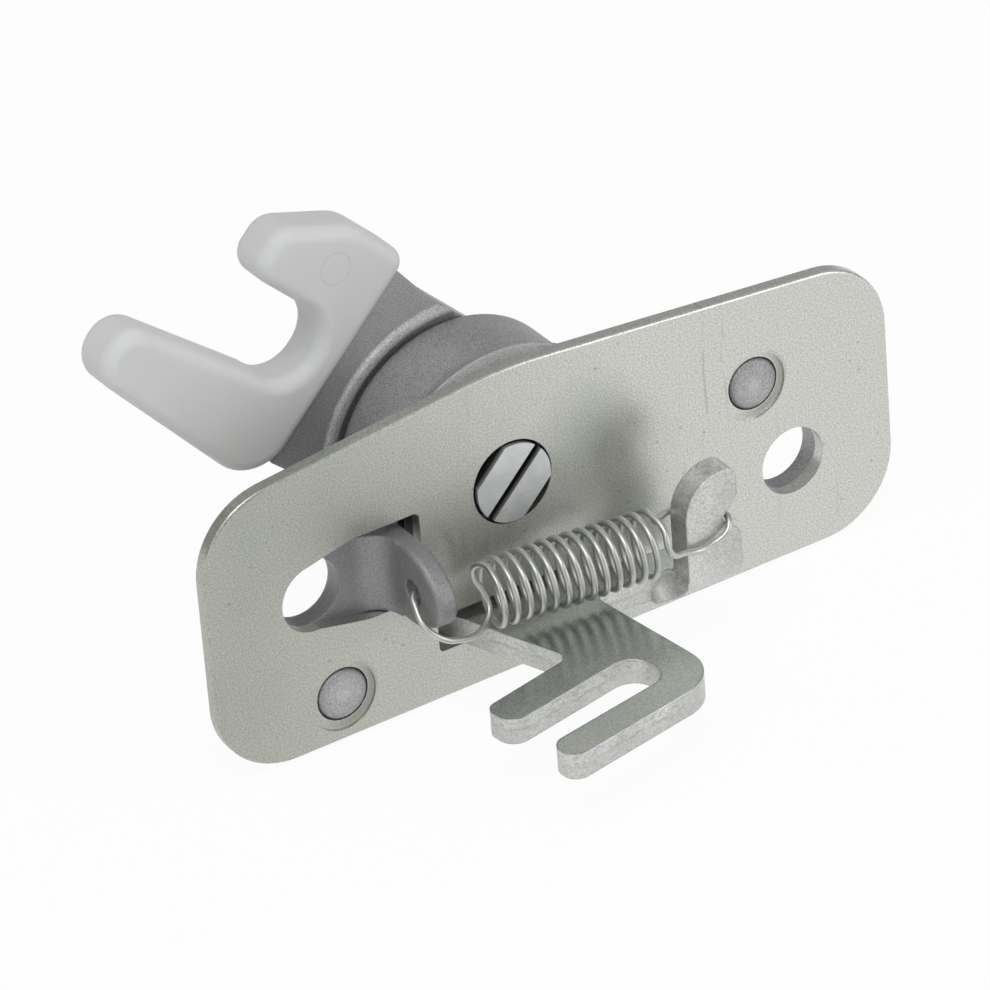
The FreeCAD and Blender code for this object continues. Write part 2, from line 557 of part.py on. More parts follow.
def make_pivot_pin():
    front = -PIN_PROUD
    end_back = front + PIN_END_LENGTH
    tail_back = CARRIER_BACK + WASHER_THICKNESS
    radius = PIN_END_DIAMETER / 2
    flats = claw_corners([(-PIN_FLAT_DISTANCE, -radius * 2, 0), (PIN_FLAT_DISTANCE, -radius * 2, 0),
                          (PIN_FLAT_DISTANCE, radius * 2, 0), (-PIN_FLAT_DISTANCE, radius * 2, 0)])
    end = rod_y(0, 0, radius, front, end_back).common(plate_prism(flats, front, end_back))
    shank = rod_y(0, 0, PIN_SHANK_DIAMETER / 2, end_back, CARRIER_FRONT)
    tail = flatted_rod(PIN_TAIL_DIAMETER / 2, PIN_TAIL_FLAT, CARRIER_FRONT, tail_back)
    rivet = turned([(0, tail_back), (RIVET_END_RADIUS, tail_back),
                    (RIVET_END_RADIUS, tail_back + RIVET_END_HEIGHT * 0.4),
                    (RIVET_END_RADIUS * 0.7, tail_back + RIVET_END_HEIGHT), (0, tail_back + RIVET_END_HEIGHT)])
    pin = end.fuse([shank, tail, rivet])
    half = PIN_SLOT_WIDTH / 2
    slot = claw_corners([(-half, -radius * 2, 0), (half, -radius * 2, 0),
                         (half, radius * 2, 0), (-half, radius * 2, 0)])
    return pin.cut(plate_prism(slot, front - 1, front + PIN_SLOT_DEPTH))


def make_pivot_washer():
    ring = rod_y(0, 0, WASHER_RADIUS, CARRIER_BACK, CARRIER_BACK + WASHER_THICKNESS)
    bore = flatted_rod(PIN_TAIL_DIAMETER / 2, PIN_TAIL_FLAT, CARRIER_BACK - 1,
                       CARRIER_BACK + WASHER_THICKNESS + 1)
    return ring.cut(bore)


def tongue_corners(play):
    width = TONGUE_HALF_WIDTH + play
    return claw_corners([(CLAW_REAR - 2, -width, 0), (CLAW_REAR + TONGUE_LENGTH + play, -width, 0),
                         (CLAW_REAR + TONGUE_LENGTH + play, width, 0), (CLAW_REAR - 2, width, 0)])


def make_shoulder():
    """Raised rim on the front of the arm, round the rear edge of the drum."""
    front = CARRIER_FRONT - SHOULDER_HEIGHT
    outer = SHOULDER_RADIUS + SHOULDER_WIDTH
    step = SHOULDER_ROUNDING
    rim = turned([(SHOULDER_RADIUS, CARRIER_FRONT + 1), (SHOULDER_RADIUS, front + step),
                  (SHOULDER_RADIUS + step * 0.3, front + step * 0.3), (SHOULDER_RADIUS + step, front),
                  (outer - step * 2, front), (outer - step, front + step * 0.5),
                  (outer, CARRIER_FRONT), (outer, CARRIER_FRONT + 1)])
    arm_width = claw_corners([(0, -ARM_HALF_WIDTH, 0), (CLAW_REAR, -ARM_HALF_WIDTH, 0),
                              (CLAW_REAR, ARM_HALF_WIDTH, 0), (0, ARM_HALF_WIDTH, 0)])
    return rim.common(plate_prism(arm_width, front - 1, CARRIER_FRONT + 1))


def make_claw_carrier():
    hub = rod_y(0, 0, ARM_HALF_WIDTH, CARRIER_FRONT, CARRIER_BACK)
    arm_outline = claw_corners([(0, -ARM_HALF_WIDTH, 0), (ARM_WIDENING, -ARM_HALF_WIDTH, 6),
                                (CLAW_REAR, -ARM_END_BOTTOM, 0), (CLAW_REAR, ARM_END_TOP, 0),
                                (ARM_WIDENING, ARM_HALF_WIDTH, 6), (0, ARM_HALF_WIDTH, 0)])
    arm = plate_prism(arm_outline, CARRIER_FRONT, CARRIER_BACK)
    tongue = plate_prism(tongue_corners(0), CARRIER_FRONT, CARRIER_BACK)

    # The lobe below the hub runs from the nose of the lever to just past the notch.
    first = math.radians(LOBE_START)
    last = math.radians(LOBE_END)
    lobe_points = [(0, 0, 0)]
    edge = LOBE_RADIUS / math.cos((last - first) / 4)
    for share, radius, corner in ((0, LOBE_RADIUS, 0), (0.25, edge, LOBE_CORNER),
                                  (0.75, edge, LOBE_CORNER), (1, LOBE_RADIUS, 0)):
        angle = first + (last - first) * share
        lobe_points.append((radius * math.cos(angle), radius * math.sin(angle), corner))
    lobe = plate_prism(lobe_points, CARRIER_FRONT, CARRIER_BACK)
    carrier = hub.fuse([arm, tongue, lobe, make_shoulder()])

    notch = block((NOSE_LEFT - NOTCH_SIDE_GAP, CARRIER_FRONT - 1, LEVER_BOTTOM - LOBE_RADIUS),
                  (NOSE_LEFT + NOSE_WIDTH + NOTCH_SIDE_GAP, CARRIER_FRONT + LATCH_DEPTH,
                   LEVER_TOP + LEVER_FLOAT))
    notch = turn_about_pivot(notch, -CLOSING_ANGLE)
    bore = flatted_rod(PIN_TAIL_DIAMETER / 2, PIN_TAIL_FLAT, CARRIER_FRONT - 1, CARRIER_BACK + 1)
    leg = spring_leg_hole(SPRING_MOVING_ANGLE, CARRIER_FRONT - 1, CARRIER_FRONT + CLAW_SPRING_LEG + 0.5)
    return carrier.cut([notch, bore, leg])


def make_claw():
    """Two-pronged plastic claw with a U-shaped mouth, moulded round the carrier's tongue."""
    low = MOUTH_MIDDLE - MOUTH_HALF_WIDTH
    high = MOUTH_MIDDLE + MOUTH_HALF_WIDTH
    prong = LOWER_PRONG_TIP - LOWER_PRONG_STRAIGHT
    tip_bottom = CLAW_BOTTOM + CLAW_BOTTOM_SLOPE * (LOWER_PRONG_TIP - CLAW_REAR)
    outline = claw_corners([
        (CLAW_REAR, CLAW_TOP, CLAW_TOP_CORNER), (CLAW_TOP_STRAIGHT_END, CLAW_TOP, 7),
        (UPPER_PRONG_TIP, UPPER_PRONG_SHOULDER, 4), (UPPER_PRONG_TIP, high, 3.4),
        (MOUTH_BOTTOM, high, MOUTH_HALF_WIDTH * 0.98), (MOUTH_BOTTOM, low, MOUTH_HALF_WIDTH * 0.98),
        (LOWER_PRONG_STRAIGHT, low, 8), (LOWER_PRONG_TIP, low + LOWER_PRONG_SLOPE * prong, 4.4),
        (LOWER_PRONG_TIP, tip_bottom, 4.6), (CLAW_REAR, CLAW_BOTTOM, CLAW_BOTTOM_CORNER)])
    back = CLAW_FRONT + CLAW_THICKNESS
    claw = plate_prism(outline, CLAW_FRONT, back)
    rim = edges_on_plane(claw, CLAW_FRONT) + edges_on_plane(claw, back)
    claw = claw.makeFillet(CLAW_EDGE_ROUNDING, rim)
    return claw.cut(plate_prism(tongue_corners(0), CARRIER_FRONT, CARRIER_BACK))


def spring_leg_hole(angle, front, back):
    turn = math.radians(angle)
    return rod_y(CLAW_SPRING_RADIUS * math.cos(turn), CLAW_SPRING_RADIUS * math.sin(turn),
                 CLAW_SPRING_WIRE / 2 + 0.1, front, back)


def coil(radius, wire, turns, length, base, axis, first):
    """Helix of round wire about an axis from a base point, starting in the first direction."""
    path = Part.Wire(Part.makeHelix(length / turns, length, radius))
    edge = path.Edges[0]
    start = edge.valueAt(edge.FirstParameter)
    tangent = edge.tangentAt(edge.FirstParameter)
    ring = Part.Wire(Part.makeCircle(wire / 2, start, tangent))
    turn = FreeCAD.Rotation(first, Vec(0, 0, 0), axis, "ZXY")
    solid = path.makePipeShell([ring], True, True)
    solid.Placement = FreeCAD.Placement(base, turn)
    angle = math.radians(360 * turns)
    last = Vec(radius * math.cos(angle), radius * math.sin(angle), length)
    return solid, base + turn.multVec(start), base + turn.multVec(last)


def bent_wire(points, wire):
    """Round wire bent in one smooth curve through its points."""
    curve = Part.BSplineCurve()
    curve.interpolate([Vec(*point) for point in points])
    path = curve.toShape()
    ring = Part.Wire(Part.makeCircle(wire / 2, path.valueAt(path.FirstParameter),
                                     path.tangentAt(path.FirstParameter)))
    solid = Part.Wire(path).makePipeShell([ring], True, True)
    if solid.Volume < 0:
        solid.reverse()
    return solid


def make_claw_spring():
    """Torsion spring round the hub, with one leg in the housing and one in the carrier."""
    turn = math.radians(SPRING_FIXED_ANGLE)
    first = Vec(math.cos(turn), 0, math.sin(turn))
    length = CLAW_SPRING_TURNS * CLAW_SPRING_PITCH
    base = Vec(0, (FLANGE_BACK + DRUM_REAR - length) / 2, 0)
    body, start, end = coil(CLAW_SPRING_RADIUS, CLAW_SPRING_WIRE, CLAW_SPRING_TURNS, length, base,
                            Vec(0, 1, 0), first)
    radius = CLAW_SPRING_WIRE / 2
    fixed_leg = rod_y(start.x, start.z, radius, FLANGE_BACK - CLAW_SPRING_LEG + 0.1, start.y)
    moving_leg = rod_y(end.x, end.z, radius, end.y, CARRIER_FRONT + CLAW_SPRING_LEG)
    corners = [Part.makeSphere(radius, start), Part.makeSphere(radius, end)]
    return body.fuse([fixed_leg, moving_leg] + corners)


def make_extension_spring():
    """Tension spring from the hole of the ear to the notched neck of the lever's tab."""
    base = Vec(*COIL_START)
    axis = Vec(*COIL_END) - base
    body, start, end = coil(SPRING_COIL_RADIUS, SPRING_WIRE, SPRING_TURNS, axis.Length, base, axis,
                            Vec(0, 0, 1))
    hooks = [bent_wire([tuple(start)] + EAR_HOOK, SPRING_WIRE),
             bent_wire([tuple(end)] + TAB_HOOK, SPRING_WIRE)]
    joints = [Part.makeSphere(SPRING_WIRE / 2, start), Part.makeSphere(SPRING_WIRE / 2, end)]
    return body.fuse(hooks + joints)


os.makedirs("parts", exist_ok=True)
save("base_plate", make_base_plate())
save("housing", make_housing())
save("lever", make_lever())
save("lever_pin", make_lever_pin())
save("pivot_pin", make_pivot_pin())
save("pivot_washer", make_pivot_washer())
save("claw_carrier", make_claw_carrier())
save("claw", make_claw())
save("claw_spring", make_claw_spring())
save("extension_spring", make_extension_spring())
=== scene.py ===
import math

import bpy
from mathutils import Matrix, Vector


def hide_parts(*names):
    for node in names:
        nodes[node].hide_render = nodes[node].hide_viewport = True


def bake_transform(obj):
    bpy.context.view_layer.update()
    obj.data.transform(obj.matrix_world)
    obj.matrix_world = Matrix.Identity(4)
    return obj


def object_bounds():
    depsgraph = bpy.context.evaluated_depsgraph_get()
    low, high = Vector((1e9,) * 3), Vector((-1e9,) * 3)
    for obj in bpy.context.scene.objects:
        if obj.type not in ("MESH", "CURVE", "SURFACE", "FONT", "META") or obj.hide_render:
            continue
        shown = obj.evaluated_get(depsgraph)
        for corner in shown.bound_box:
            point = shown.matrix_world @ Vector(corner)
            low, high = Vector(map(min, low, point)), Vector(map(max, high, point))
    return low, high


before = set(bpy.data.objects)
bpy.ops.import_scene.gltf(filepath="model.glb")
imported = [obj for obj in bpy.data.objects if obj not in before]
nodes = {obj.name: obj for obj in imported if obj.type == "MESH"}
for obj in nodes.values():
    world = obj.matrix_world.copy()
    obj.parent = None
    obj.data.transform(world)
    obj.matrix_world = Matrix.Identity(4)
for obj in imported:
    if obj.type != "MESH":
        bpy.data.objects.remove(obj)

cad_low, cad_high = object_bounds()
bpy.ops.object.select_all(action="DESELECT")


# Camera.
# A long lens from the front left and above, a little turned, as a catalogue shot is taken.
camera_data = bpy.data.cameras.new("camera")
camera_data.sensor_width = 36.0
camera_data.lens = 290.9
camera_data.clip_end = 10.0
camera = bpy.data.objects.new("camera", camera_data)
bpy.context.collection.objects.link(camera)
camera_place = (-0.4853, -0.8147, 0.5831)
camera_right = Vector((0.83568, -0.54475, -0.06978))
camera_up = Vector((0.33714, 0.40856, 0.84817))
camera_back = Vector((-0.43354, -0.73234, 0.52509))
turn = Matrix((camera_right, camera_up, camera_back)).transposed()
camera.matrix_world = Matrix.Translation(camera_place) @ turn.to_4x4()
bpy.context.scene.camera = camera
bpy.context.scene.view_settings.view_transform = "Standard"


# Studio table.
# A plain white sheet just under the lock, with a soft shadow. The camera and the plated metal see it
# as bright paper, and it throws no more light on the lock than paper does.
table_gap = 0.0006
bpy.ops.mesh.primitive_plane_add(size=6.0, location=(0, 0, cad_low.z - table_gap))
table = bpy.context.object
table.name = "studio_table"
table_look = bpy.data.materials.new("studio_table")
table_look.use_nodes = True
tree = table_look.node_tree
tree.nodes.clear()
output = tree.nodes.new("ShaderNodeOutputMaterial")
paper = tree.nodes.new("ShaderNodeBsdfDiffuse")
paper.inputs["Color"].default_value = (0.86, 0.86, 0.86, 1)
bright = tree.nodes.new("ShaderNodeEmission")
bright.inputs["Strength"].default_value = 1.0
path = tree.nodes.new("ShaderNodeLightPath")
seen = path.outputs["Is Camera Ray"]
for label in ("Is Glossy Ray", "Is Transmission Ray"):
    either = tree.nodes.new("ShaderNodeMath")
    either.operation = "MAXIMUM"
    tree.links.new(seen, either.inputs[0])
    tree.links.new(path.outputs[label], either.inputs[1])
    seen = either.outputs[0]
share = tree.nodes.new("ShaderNodeMath")
share.operation = "MULTIPLY"
share.inputs[1].default_value = 0.94
tree.links.new(seen, share.inputs[0])
blend = tree.nodes.new("ShaderNodeMixShader")
tree.links.new(share.outputs[0], blend.inputs[0])
tree.links.new(paper.outputs[0], blend.inputs[1])
tree.links.new(bright.outputs[0], blend.inputs[2])
tree.links.new(blend.outputs[0], output.inputs["Surface"])
table.data.materials.append(table_look)


# Studio light.
# A wide soft box above on the left, and weaker ones low on the left and on the right. The room is pale in
# front of the lock and dimmer behind it, which gives the tops of the plated parts their darker tone.
def soft_box(name, place, width, height, power):
    light = bpy.data.lights.new(name, "AREA")
    light.shape = "RECTANGLE"
    light.size = width
    light.size_y = height
    light.energy = power
    lamp = bpy.data.objects.new(name, light)
    bpy.context.collection.objects.link(lamp)
    lamp.location = place
    towards_lock = -Vector(place)
    lamp.rotation_euler = towards_lock.to_track_quat("-Z", "Y").to_euler()


soft_box("soft_box_above", (-0.35, -0.35, 0.95), 0.8, 0.6, 5.0)
soft_box("soft_box_left", (-0.95, -0.45, 0.3), 0.6, 0.8, 1.2)
soft_box("soft_box_right", (0.75, -0.85, 0.4), 0.5, 0.8, 3.2)
world = bpy.data.worlds.new("pale_room")
bpy.context.scene.world = world
world.use_nodes = True
room = world.node_tree.nodes["Background"]
room.inputs["Color"].default_value = (1.0, 1.0, 1.0, 1)
towards = world.node_tree.nodes.new("ShaderNodeTexCoord").outputs["Generated"]
split = world.node_tree.nodes.new("ShaderNodeSeparateXYZ")
world.node_tree.links.new(towards, split.inputs[0])
fade = world.node_tree.nodes.new("ShaderNodeMapRange")
fade.interpolation_type = "SMOOTHSTEP"
fade.inputs["From Min"].default_value = -0.2
fade.inputs["From Max"].default_value = 0.75
fade.inputs["To Min"].default_value = 0.5
fade.inputs["To Max"].default_value = 0.38
world.node_tree.links.new(split.outputs["Y"], fade.inputs["Value"])
world.node_tree.links.new(fade.outputs["Result"], room.inputs["Strength"])


# Base plate.
# A 2 mm steel stamping, zinc plated: satin grey with faint green, straw and pink clouds, dark pin pricks
# and a few upright scratches. The other metal parts take their clouds, pricks and scratches from here.
def new_group(name, inputs, outputs):
    group = bpy.data.node_groups.new(name, "ShaderNodeTree")
    for label, kind, value in inputs:
        socket = group.interface.new_socket(label, in_out="INPUT", socket_type=kind)
        socket.default_value = value
    for label in outputs:
        group.interface.new_socket(label, in_out="OUTPUT", socket_type="NodeSocketFloat")
    return group, group.nodes.new("NodeGroupInput"), group.nodes.new("NodeGroupOutput")


def add_noise(tree, place, scale, detail=3.0):
    """A noise from 0 to 1. Its scale is a number or another node's output."""
    noise = tree.nodes.new("ShaderNodeTexNoise")
    noise.inputs["Detail"].default_value = detail
    tree.links.new(place, noise.inputs["Vector"])
    if isinstance(scale, (int, float)):
        noise.inputs["Scale"].default_value = scale
    else:
        tree.links.new(scale, noise.inputs["Scale"])
    return noise.outputs["Fac"]


def add_range(tree, value, low, high, to_low=0.0, to_high=1.0):
    node = tree.nodes.new("ShaderNodeMapRange")
    node.inputs["From Min"].default_value = low
    node.inputs["From Max"].default_value = high
    node.inputs["To Min"].default_value = to_low
    node.inputs["To Max"].default_value = to_high
    tree.links.new(value, node.inputs["Value"])
    return node.outputs["Result"]


def add_math(tree, operation, first, second=0.0):
    node = tree.nodes.new("ShaderNodeMath")
    node.operation = operation
    for socket, value in zip(node.inputs, (first, second)):
        if isinstance(value, (int, float)):
            socket.default_value = value
        else:
            tree.links.new(value, socket)
    return node.outputs[0]


def all_of(tree, *masks):
    """The product of several masks."""
    product = masks[0]
    for mask in masks[1:]:
        product = add_math(tree, "MULTIPLY", product, mask)
    return product


def add_mix(tree, factor, first, second, blend="MIX"):
    node = tree.nodes.new("ShaderNodeMix")
    node.data_type = "RGBA"
    node.blend_type = blend
    for label, value in (("Factor", factor), ("A", first), ("B", second)):
        socket = next(s for s in node.inputs
                      if s.name == label and s.enabled and s.type in ("VALUE", "RGBA"))
        if isinstance(value, (int, float)):
            socket.default_value = value
        elif isinstance(value, tuple):
            socket.default_value = value + (1.0,)
        else:
            tree.links.new(value, socket)
    return next(s for s in node.outputs if s.type == "RGBA" and s.enabled)


def laid_over(tree, tint, mask, strength, colour):
    """The tint with a colour laid over it where the mask is."""
    return add_mix(tree, add_math(tree, "MULTIPLY", mask, strength), tint, colour)


def speckled(tree, tint, grain, dark, light):
    """The tint, made darker and lighter by a fine grain."""
    return add_mix(tree, 1.0, tint, add_range(tree, grain, 0.2, 0.8, dark, light), "MULTIPLY")


def make_cloud_group():
    group, start, end = new_group(
        "plating_cloud",
        [("Place", "NodeSocketVector", (0, 0, 0)), ("Scale", "NodeSocketFloat", 60.0)],
        ["Cloud", "Fine"])
    for label, times_finer, detail, low in (("Cloud", 1.0, 3.0, 0.35), ("Fine", 22.0, 1.0, 0.1)):
        scale = add_math(group, "MULTIPLY", start.outputs["Scale"], times_finer)
        noise = add_noise(group, start.outputs["Place"], scale, detail)
        group.links.new(add_range(group, noise, low, 1.0 - low), end.inputs[label])
    return group


def make_speck_group():
    group, start, end = new_group(
        "dark_specks",
        [("Place", "NodeSocketVector", (0, 0, 0)), ("Scale", "NodeSocketFloat", 600.0),
         ("Share", "NodeSocketFloat", 0.1), ("Size", "NodeSocketFloat", 0.12)],
        ["Speck"])
    cells = group.nodes.new("ShaderNodeTexVoronoi")
    group.links.new(start.outputs["Place"], cells.inputs["Vector"])
    group.links.new(start.outputs["Scale"], cells.inputs["Scale"])
    split = group.nodes.new("ShaderNodeSeparateColor")
    group.links.new(cells.outputs["Color"], split.inputs["Color"])
    chosen = add_math(group, "LESS_THAN", split.outputs["Red"], start.outputs["Share"])
    size = add_math(group, "MULTIPLY", split.outputs["Green"], start.outputs["Size"])
    inside = add_math(group, "LESS_THAN", cells.outputs["Distance"], size)
    group.links.new(all_of(group, chosen, inside), end.inputs["Speck"])
    return group


def make_scratch_group():
    group, start, end = new_group(
        "fine_scratches",
        [("Place", "NodeSocketVector", (0, 0, 0)), ("Scale", "NodeSocketFloat", 900.0),
         ("Share", "NodeSocketFloat", 0.2)],
        ["Scratch"])
    noise = add_noise(group, start.outputs["Place"], start.outputs["Scale"], 2.0)
    edge = add_math(group, "SUBTRACT", 0.72, add_math(group, "MULTIPLY", start.outputs["Share"], 0.4))
    over = add_math(group, "SUBTRACT", noise, edge)
    group.links.new(add_range(group, over, 0.0, 0.04), end.inputs["Scratch"])
    return group


cloud_group = make_cloud_group()
speck_group = make_speck_group()
scratch_group = make_scratch_group()


def use_group(tree, group, **values):
    node = tree.nodes.new("ShaderNodeGroup")
    node.node_tree = group
    for label, value in values.items():
        socket = node.inputs[label]
        if isinstance(value, (int, float)):
            socket.default_value = value
        else:
            tree.links.new(value, socket)
    return node.outputs


def new_look(name):
    look = bpy.data.materials.new(name)
    look.use_nodes = True
    tree = look.node_tree
    place = tree.nodes.new("ShaderNodeTexCoord").outputs["Object"]
    return look, tree, tree.nodes["Principled BSDF"], place


def parts_of(tree, vector):
    """The X, Y and Z of a place or a direction."""
    split = tree.nodes.new("ShaderNodeSeparateXYZ")
    tree.links.new(vector, split.inputs[0])
    return split.outputs


def facing_of(tree):
    """The X, Y and Z of the way that a face points."""
    return parts_of(tree, tree.nodes.new("ShaderNodeNewGeometry").outputs["True Normal"])


def stretched(tree, place, scale, turn=(0, 0, 0)):
    mapping = tree.nodes.new("ShaderNodeMapping")
    mapping.inputs["Scale"].default_value = scale
    mapping.inputs["Rotation"].default_value = tuple(math.radians(a) for a in turn)
    tree.links.new(place, mapping.inputs["Vector"])
    return mapping.outputs["Vector"]


def way_from(tree, place, middle, reach=(1.0, 1.0)):
    """How far a point lies from a middle in X and Z, measured in the reach along each."""
    shift = tree.nodes.new("ShaderNodeMapping")
    shift.inputs["Location"].default_value = (-middle[0] / reach[0], 0, -middle[1] / reach[1])
    shift.inputs["Scale"].default_value = (1 / reach[0], 0, 1 / reach[1])
    tree.links.new(place, shift.inputs["Vector"])
    far = tree.nodes.new("ShaderNodeVectorMath")
    far.operation = "LENGTH"
    tree.links.new(shift.outputs[0], far.inputs[0])
    return far.outputs["Value"]


def add_bump(tree, shader, height, strength, distance, edge=0.0):
    """Bumps on a shader, with edges softened by a radius where one is given."""
    bump = tree.nodes.new("ShaderNodeBump")
    if edge > 0:
        soft = tree.nodes.new("ShaderNodeBevel")
        soft.inputs["Radius"].default_value = edge
        tree.links.new(soft.outputs["Normal"], bump.inputs["Normal"])
    bump.inputs["Strength"].default_value = strength
    bump.inputs["Distance"].default_value = distance
    tree.links.new(height, bump.inputs["Height"])
    tree.links.new(bump.outputs["Normal"], shader.inputs["Normal"])


def wear(node_name, look):
    node = nodes[node_name]
    node.data.materials.clear()
    node.data.materials.append(look)


rivet_holes = ((-0.03005, -0.02298), (0.0408, 0.00004))
# Middle and reach of the painted shade beside the pivot.
painted_shade_middle = (0.0125, 0.0035)
painted_shade_reach = (0.0095, 0.0105)
plate_look, tree, shader, place = new_look("plated_sheet")
where = parts_of(tree, place)
clouds = use_group(tree, cloud_group, Place=place, Scale=38.0)
leaning = stretched(tree, place, (1.0, 1.0, 0.7), (0, 25, 0))
patches = use_group(tree, cloud_group, Place=leaning, Scale=17.0)
grain = use_group(tree, cloud_group, Place=place, Scale=170.0)
specks = use_group(tree, speck_group, Place=place, Scale=750.0, Share=0.16, Size=0.2)
fine_specks = use_group(tree, speck_group, Place=place, Scale=2400.0, Share=0.12, Size=0.3)
upright_streaks = stretched(tree, place, (1.0, 1.0, 0.12), (0, -4, 0))
smudges = use_group(tree, scratch_group, Place=upright_streaks, Scale=420.0, Share=0.14)
tint = add_mix(tree, clouds["Cloud"], (0.385, 0.405, 0.36), (0.445, 0.445, 0.40))
tint = laid_over(tree, tint, patches["Cloud"], 0.6, (0.475, 0.45, 0.42))

# The plate is painted lighter toward its right end, a painted reflection, and darker beside the pivot, a
# painted shade for the dark reflection of the tab and the lever. A fine grain covers it all.
right = add_range(tree, where["X"], -0.045, 0.02, 0.0, 0.9)
tint = add_mix(tree, right, tint, (0.62, 0.63, 0.595))
dull = add_range(tree, way_from(tree, place, painted_shade_middle, painted_shade_reach), 0.2, 1.0, 0.36, 0.0)
tint = add_mix(tree, dull, tint, (0.30, 0.32, 0.29))
tint = speckled(tree, tint, grain["Fine"], 0.75, 1.22)
tint = laid_over(tree, tint, fine_specks["Speck"], 0.25, (0.25, 0.26, 0.24))
tint = laid_over(tree, tint, specks["Speck"], 0.35, (0.18, 0.19, 0.17))
tint = laid_over(tree, tint, smudges["Scratch"], 0.12, (0.33, 0.34, 0.32))

# Two long upright rub marks between the middle and the right end.
for line_x, line_width in ((0.0328, 0.00012), (0.0362, 0.0001)):
    wander = add_range(tree, add_noise(tree, place, 90.0), 0.3, 0.7, -0.0005, 0.0005)
    off = add_math(tree, "SUBTRACT", add_math(tree, "ADD", where["X"], wander), line_x)
    rub = add_range(tree, add_math(tree, "ABSOLUTE", off), line_width, line_width * 2.2, 0.35, 0.0)
    high = add_range(tree, where["Z"], -0.006, -0.002)
    patchy = add_range(tree, add_noise(tree, place, 260.0), 0.4, 0.6)
    tint = add_mix(tree, all_of(tree, rub, high, patchy), tint, (0.25, 0.26, 0.24))

# A painted shadow darkens the coined recess round each rivet hole at its right and lower side.
for hole_x, hole_z in rivet_holes:
    far = way_from(tree, place, (hole_x, hole_z))
    past_hole = add_range(tree, far, 0.0041, 0.0044)
    in_recess = add_range(tree, far, 0.0050, 0.0058, 1.0, 0.0)
    to_right = add_math(tree, "SUBTRACT", where["X"], hole_x)
    below = add_math(tree, "MULTIPLY", add_math(tree, "SUBTRACT", hole_z, where["Z"]), 0.6)
    shadow = add_range(tree, add_math(tree, "ADD", to_right, below), -0.001, 0.004)
    tint = laid_over(tree, tint, all_of(tree, past_hole, in_recess, shadow), 0.6, (0.20, 0.20, 0.18))
tree.links.new(tint, shader.inputs["Base Color"])
shader.inputs["Metallic"].default_value = 0.85
tree.links.new(add_range(tree, patches["Fine"], 0, 1, 0.27, 0.37), shader.inputs["Roughness"])
add_bump(tree, shader, grain["Fine"], 0.35, 0.00004)
wear("base_plate", plate_look)


# Housing and claw carrier.
# Zinc die castings, blasted dull: dark violet grey with a fine grain, and light specks painted in as the
# glints where the grit hit them.
cast_look, tree, shader, place = new_look("blasted_casting")
where = parts_of(tree, place)
clouds = use_group(tree, cloud_group, Place=place, Scale=120.0)
grain = use_group(tree, cloud_group, Place=place, Scale=230.0)
painted_glints = use_group(tree, speck_group, Place=place, Scale=4600.0, Share=0.3, Size=0.5)
tint = add_mix(tree, clouds["Cloud"], (0.41, 0.405, 0.42), (0.48, 0.475, 0.48))
tint = speckled(tree, tint, grain["Fine"], 0.55, 1.25)
# Painted glints: light specks laid into the colour.
tint = laid_over(tree, tint, painted_glints["Speck"], 0.3, (0.66, 0.66, 0.68))

# Painted shade: the mechanism's inside is painted near black behind the window and the slot of the plate.
# Behind the flange's back only the faces that look forwards get this painted shade.
mask_edge = 0.0006
bounds = []
for axis, low, high in (("X", -0.0185, 0.009), ("Y", 0.0022, 0.0152), ("Z", -0.0265, 0.0022)):
    bounds.append(add_range(tree, where[axis], low, low + mask_edge))
    bounds.append(add_range(tree, where[axis], high - mask_edge, high, 1.0, 0.0))
forward = add_math(tree, "LESS_THAN", facing_of(tree)["Y"], -0.3)
in_flange = add_range(tree, where["Y"], 0.0044, 0.0049, 1.0, 0.0)
inside = all_of(tree, *bounds, add_math(tree, "MAXIMUM", forward, in_flange))
tint = laid_over(tree, tint, inside, 0.85, (0.03, 0.03, 0.03))

# The ear and the bar that show in the window are painted darker than the drum, a painted shade for the
# shadow that they lie in.
left = add_range(tree, where["X"], -0.012, -0.011, 1.0, 0.0)
high = add_range(tree, where["Z"], -0.0192, -0.0187)
in_front = add_range(tree, where["Y"], 0.0047, 0.005, 1.0, 0.0)
tint = laid_over(tree, tint, all_of(tree, left, high, in_front), 0.55, (0.16, 0.16, 0.165))

# The staked rivet ends are painted darker toward the rim, a painted shade, and have a lighter dimple.
on_plate = add_range(tree, where["Y"], 0.0, 0.0008, 1.0, 0.0)
for hole in rivet_holes:
    far = way_from(tree, place, hole)
    towards_rim = add_range(tree, far, 0.0024, 0.0039, 0.0, 0.45)
    in_hole = add_range(tree, far, 0.0044, 0.0046, 1.0, 0.0)
    tint = add_mix(tree, all_of(tree, on_plate, towards_rim, in_hole), tint, (0.20, 0.20, 0.20))
    dimple = add_range(tree, far, 0.0006, 0.0015, 0.35, 0.0)
    tint = add_mix(tree, all_of(tree, on_plate, dimple), tint, (0.62, 0.62, 0.63))
tree.links.new(tint, shader.inputs["Base Color"])
shader.inputs["Metallic"].default_value = 0.7
tree.links.new(add_range(tree, grain["Fine"], 0, 1, 0.4, 0.55), shader.inputs["Roughness"])
add_bump(tree, shader, grain["Fine"], 0.8, 0.00008, 0.0006)
for name in ("housing", "claw_carrier"):
    wear(name, cast_look)
